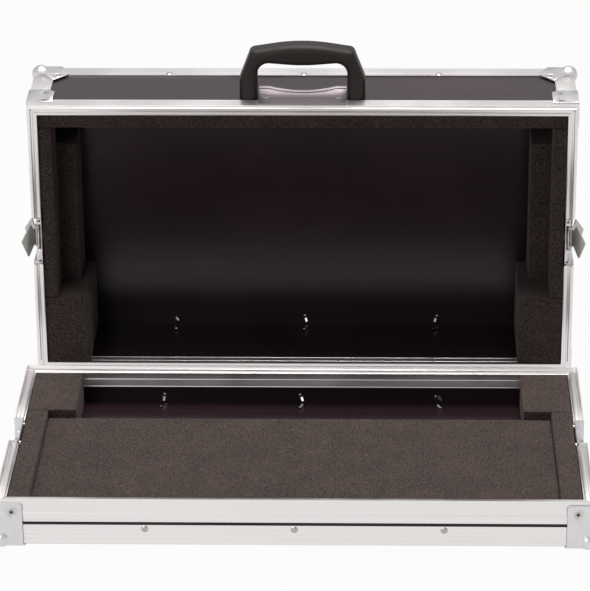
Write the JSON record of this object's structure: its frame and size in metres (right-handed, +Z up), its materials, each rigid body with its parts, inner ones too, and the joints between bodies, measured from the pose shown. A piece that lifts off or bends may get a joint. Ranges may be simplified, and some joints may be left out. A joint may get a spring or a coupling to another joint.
{
  "type": "flight case",
  "caption": "Open flight case for a small synthesizer: a foam-lined tray in front and a deep lift-off cover with a carrying handle standing behind it, with butterfly latches.",
  "frame": {"origin": "on the floor, in the middle of the rectangle that the open case takes up", "axes": "+X to the right along the tray's long side, +Y from the tray in front to the cover behind, +Z up"},
  "size_m": [0.6502, 0.5727, 0.4017],
  "materials": {
    "panel": "dark purple-brown phenolic film on birch plywood, smooth satin gloss",
    "aluminium": "clear anodised extrusion, satin, with fine length-wise grooves",
    "corner_plate": "zinc-plated pressed steel, satin",
    "rivet": "nickel-plated split rivet, semi-bright",
    "foam": "open-cell charcoal foam, matt, cut faces",
    "handle_plastic": "moulded black-brown plastic with a soft grip, satin",
    "handle_plate": "zinc-plated pressed steel, satin",
    "fastener": "zinc-plated steel",
    "latch_dish": "zinc-plated pressed steel, satin",
    "latch_steel": "nickel-plated steel, bright"
  },
  "bodies": {
    "tray": {"catch_dish_rivets": "rivet", "left_catch_dish": "latch_dish", "right_catch_dish": "latch_dish", "tray_ball_corners": "corner_plate", "tray_bottom_panel": "panel", "tray_corner_rivets": "rivet", "tray_edge_rivets": "rivet", "tray_foam_corner_blocks": "foam", "tray_foam_pad": "foam", "tray_foam_strips": "foam", "tray_front_panel": "panel", "tray_left_panel": "panel", "tray_long_edge_angles": "aluminium", "tray_rear_panel": "panel", "tray_right_panel": "panel", "tray_rim_front": "aluminium", "tray_rim_left": "aluminium", "tray_rim_rear": "aluminium", "tray_rim_right": "aluminium", "tray_side_edge_angles": "aluminium"},
    "cover": {"cover_ball_corners": "corner_plate", "cover_brace_rivets": "rivet", "cover_corner_angles": "aluminium", "cover_corner_rivets": "rivet", "cover_edge_rivets": "rivet", "cover_foam_corner_blocks": "foam", "cover_foam_front_strip": "foam", "cover_foam_inner_pads": "foam", "cover_foam_side_strips": "foam", "cover_front_panel": "panel", "cover_left_panel": "panel", "cover_long_edge_angles": "aluminium", "cover_rear_panel": "panel", "cover_right_panel": "panel", "cover_rim_braces": "corner_plate", "cover_rim_front": "aluminium", "cover_rim_left": "aluminium", "cover_rim_rear": "aluminium", "cover_rim_right": "aluminium", "cover_side_edge_angles": "aluminium", "cover_top_panel": "panel", "handle_bolts": "fastener", "handle_bow": "handle_plastic", "handle_plate": "handle_plate", "handle_plate_rivets": "rivet", "handle_washers": "fastener", "latch_dish_rivets": "rivet", "left_latch_dish": "latch_dish", "right_latch_dish": "latch_dish"},
    "left_latch_turner": {"left_latch_turner": "latch_steel", "left_latch_wing_pins": "latch_steel"},
    "left_latch_front_wing": {"left_latch_front_wing": "latch_steel"},
    "left_latch_rear_wing": {"left_latch_rear_wing": "latch_steel"},
    "right_latch_turner": {"right_latch_turner": "latch_steel", "right_latch_wing_pins": "latch_steel"},
    "right_latch_front_wing": {"right_latch_front_wing": "latch_steel"},
    "right_latch_rear_wing": {"right_latch_rear_wing": "latch_steel"}
  },
  "joints": [
    {"name": "cover_closing", "type": "hinge", "parent": "tray", "child": "cover", "pos_m": [0, 0.0793, -0.02594], "axis": [1, 0, 0], "range_deg": [0, 88.18]},
    {"name": "left_latch_turn", "type": "hinge", "parent": "cover", "child": "left_latch_turner", "pos_m": [-0.3025, 0.17408, 0.16985], "axis": [1, 0, 0], "range_deg": [0, 90]},
    {"name": "left_latch_front_wing_fold", "type": "hinge", "parent": "left_latch_turner", "child": "left_latch_front_wing", "pos_m": [-0.3089, 0.17668, 0.16994], "axis": [0, 0.0317, -0.9995], "range_deg": [-50, 40]},
    {"name": "left_latch_rear_wing_fold", "type": "hinge", "parent": "left_latch_turner", "child": "left_latch_rear_wing", "pos_m": [-0.3089, 0.17148, 0.16977], "axis": [0, -0.0317, 0.9995], "range_deg": [-50, 40]},
    {"name": "right_latch_turn", "type": "hinge", "parent": "cover", "child": "right_latch_turner", "pos_m": [0.3025, 0.17408, 0.16985], "axis": [1, 0, 0], "range_deg": [0, 90]},
    {"name": "right_latch_front_wing_fold", "type": "hinge", "parent": "right_latch_turner", "child": "right_latch_front_wing", "pos_m": [0.3089, 0.17668, 0.16994], "axis": [0, -0.0317, 0.9995], "range_deg": [-50, 40]},
    {"name": "right_latch_rear_wing_fold", "type": "hinge", "parent": "right_latch_turner", "child": "right_latch_rear_wing", "pos_m": [0.3089, 0.17148, 0.16977], "axis": [0, 0.0317, -0.9995], "range_deg": [-50, 40]}
  ]
}
